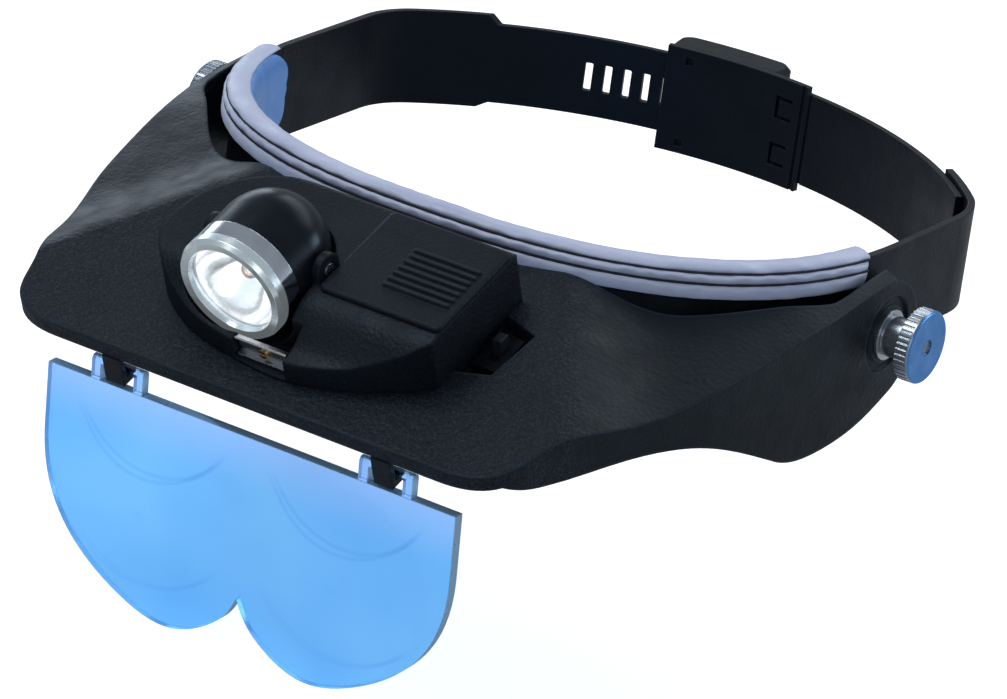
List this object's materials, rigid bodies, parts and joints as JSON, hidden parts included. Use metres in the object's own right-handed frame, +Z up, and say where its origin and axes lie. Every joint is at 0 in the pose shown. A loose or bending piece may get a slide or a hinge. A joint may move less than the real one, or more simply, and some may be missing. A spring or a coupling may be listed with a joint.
{
  "type": "head visor magnifier",
  "caption": "Head-worn magnifier: padded adjustable band, tilting black visor on thumb screws, hung clear lens plate and a swivelling battery lamp on top.",
  "frame": {"origin": "middle of the axis through the two visor pivots", "axes": "+X to the wearer's left along the pivot axis, the wearer faces -Y, +Z up"},
  "size_m": [0.211, 0.2303, 0.1083],
  "materials": {
    "band_plastic": "satin black moulded strap plastic",
    "pad_vinyl": "soft lilac grey padded vinyl",
    "visor_plastic": "black pebble grain moulding",
    "module_plastic": "fine grain black moulding",
    "lamp_plastic": "glossy black moulding",
    "chrome_trim": "bright chrome",
    "bezel_trim": "bright plated ring",
    "reflector_plate": "vacuum plated reflector",
    "window_clear": "clear lamp window",
    "bulb_clear": "bulb glass",
    "lens_acrylic": "clear moulded acrylic with a sky blue tint",
    "screw_chrome": "knurled plated thumb screw",
    "steel": "plain steel",
    "brass": "turned brass",
    "fibre": "fibre washer",
    "cell_jacket": "printed cell jacket without lettering",
    "switch_plastic": "switch moulding",
    "slider_plastic": "light grey slider"
  },
  "bodies": {
    "head_band": {"head_band": "band_plastic", "comfort_pad": "pad_vinyl", "pivot_inserts": "brass", "friction_washers": "fibre"},
    "rear_strap": {"rear_strap": "band_plastic", "buckle_cover": "band_plastic", "button_springs": "steel"},
    "release_button": {"release_button": "band_plastic"},
    "collar_washer_left": {"collar_washer_left": "steel"},
    "thumb_screw_left": {"thumb_screw_left": "screw_chrome"},
    "collar_washer_right": {"collar_washer_right": "steel"},
    "thumb_screw_right": {"thumb_screw_right": "screw_chrome"},
    "visor": {"visor_shell": "visor_plastic", "lens_hooks": "lamp_plastic", "module_housing": "module_plastic", "battery_cells": "cell_jacket", "battery_contacts": "steel", "contact_springs": "steel", "module_screws": "steel", "contact_strip": "steel", "strip_screw": "brass", "switch_body": "switch_plastic"},
    "battery_cover": {"battery_cover": "module_plastic"},
    "switch_slider": {"switch_slider": "slider_plastic"},
    "lamp": {"lamp_shell": "lamp_plastic", "lamp_pins": "steel", "lamp_collar": "chrome_trim", "lamp_bezel": "bezel_trim", "lamp_window": "window_clear", "lamp_reflector": "reflector_plate", "bulb_socket": "switch_plastic", "bulb_base": "brass", "bulb_glass": "bulb_clear"},
    "lens": {"lens_plate": "lens_acrylic"}
  },
  "joints": [
    {"name": "visor_tilt", "type": "hinge", "parent": "head_band", "child": "visor", "pos_m": [0, 0, 0], "axis": [-1, 0, 0], "range_deg": [-8, 55]},
    {"name": "strap_adjust", "type": "hinge", "parent": "head_band", "child": "rear_strap", "pos_m": [0, -0.014, 0.005], "axis": [0, 0, 1], "range_deg": [0, 8.1]},
    {"name": "button_press", "type": "slide", "parent": "rear_strap", "child": "release_button", "axis": [0.1045, -0.9945, 0], "range_m": [0, 0.0012], "deforming": ["button_springs"]},
    {"name": "screw_left_advance", "type": "slide", "parent": "head_band", "child": "collar_washer_left", "axis": [1, 0, 0], "range_m": [0, 0.0014]},
    {"name": "screw_left_turn", "type": "hinge", "parent": "collar_washer_left", "child": "thumb_screw_left", "pos_m": [0.09, 0, 0], "axis": [1, 0, 0], "range_deg": [0, 725]},
    {"name": "screw_right_advance", "type": "slide", "parent": "head_band", "child": "collar_washer_right", "axis": [-1, 0, 0], "range_m": [0, 0.0014]},
    {"name": "screw_right_turn", "type": "hinge", "parent": "collar_washer_right", "child": "thumb_screw_right", "pos_m": [-0.09, 0, 0], "axis": [-1, 0, 0], "range_deg": [0, 725]},
    {"name": "battery_cover_slide", "type": "slide", "parent": "visor", "child": "battery_cover", "axis": [0, 0.9198, 0.3923], "range_m": [0, 0.016]},
    {"name": "switch_slide", "type": "slide", "parent": "visor", "child": "switch_slider", "axis": [0, -0.9198, -0.3923], "range_m": [0, 0.003]},
    {"name": "lamp_tilt", "type": "hinge", "parent": "visor", "child": "lamp", "pos_m": [-0.0118, -0.10473, 0.0136], "axis": [-1, 0, 0], "range_deg": [-2, 30]},
    {"name": "lens_tilt", "type": "hinge", "parent": "visor", "child": "lens", "pos_m": [0, -0.12137, -0.02003], "axis": [1, 0, 0], "range_deg": [-5, 60]}
  ],
  "couplings": [
    {"joint": "screw_left_turn", "follows": "screw_left_advance", "rad_per_m": 8976},
    {"joint": "screw_right_turn", "follows": "screw_right_advance", "rad_per_m": 8976}
  ]
}
